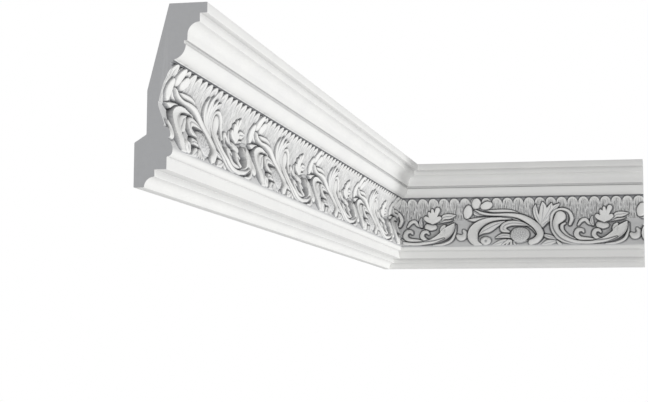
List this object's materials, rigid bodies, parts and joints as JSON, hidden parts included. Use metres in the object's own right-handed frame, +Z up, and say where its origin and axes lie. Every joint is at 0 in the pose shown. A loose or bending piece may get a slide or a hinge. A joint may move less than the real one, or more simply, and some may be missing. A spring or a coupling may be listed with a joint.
{
  "type": "cornice moulding inside corner",
  "caption": "Carved cornice moulding in two mitred lengths that meet in an inside corner, under a ceiling.",
  "frame": {"origin": "foot of the corner where the two wall planes meet the moulding's underside, at the back of the mitre", "axes": "+Z up to the ceiling, the left length runs along -Y on the wall plane x = 0, the right length runs along +X on the wall plane y = 0"},
  "size_m": [0.382, 1.1, 0.15],
  "materials": {
    "primed_foam": "smooth white primer on rigid foam, satin"
  },
  "bodies": {
    "root": {"left_length": "primed_foam", "right_length": "primed_foam"}
  },
  "joints": []
}
